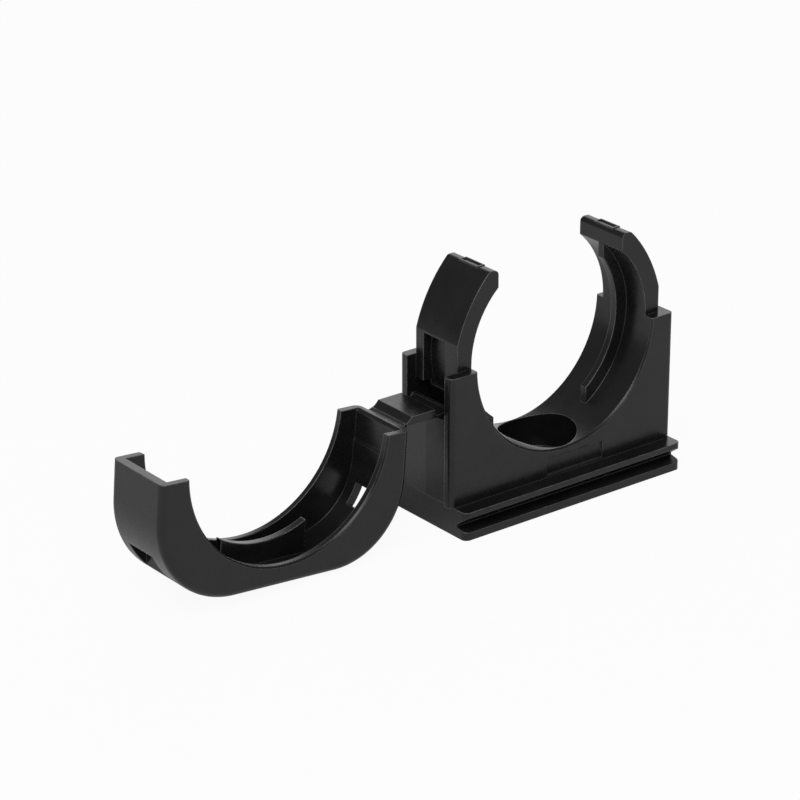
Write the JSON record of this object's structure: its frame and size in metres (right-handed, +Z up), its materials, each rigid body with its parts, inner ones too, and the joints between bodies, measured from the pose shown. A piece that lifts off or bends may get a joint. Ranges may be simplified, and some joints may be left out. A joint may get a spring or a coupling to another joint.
{
  "type": "conduit holder",
  "caption": "Black plastic holder for corrugated conduit: grooved foot with a screw well, sprung arms round the seat, and an arched cover on a film-hinged strap, shown open.",
  "frame": {"origin": "underside of the foot, on the axis of the screw hole", "axes": "+Z up along the screw axis, Y along the conduit, +X along the foot away from the cover's hinge"},
  "size_m": [0.0974, 0.0188, 0.0407],
  "materials": {
    "black_polyamide": "satin"
  },
  "bodies": {
    "holder": {"holder": "black_polyamide", "lower_film": "black_polyamide"},
    "hinge_strap": {"hinge_strap": "black_polyamide", "upper_film": "black_polyamide"},
    "cover": {"cover": "black_polyamide"}
  },
  "joints": [
    {"name": "strap_hinge", "type": "hinge", "parent": "holder", "child": "hinge_strap", "pos_m": [-0.0231, 0, 0.0194], "axis": [0, 1, 0], "range_deg": [0, 90], "deforming": ["lower_film"]},
    {"name": "cover_hinge", "type": "hinge", "parent": "hinge_strap", "child": "cover", "pos_m": [-0.0299, 0, 0.0194], "axis": [0, 1, 0], "range_deg": [0, 85.6], "deforming": ["upper_film"]}
  ]
}
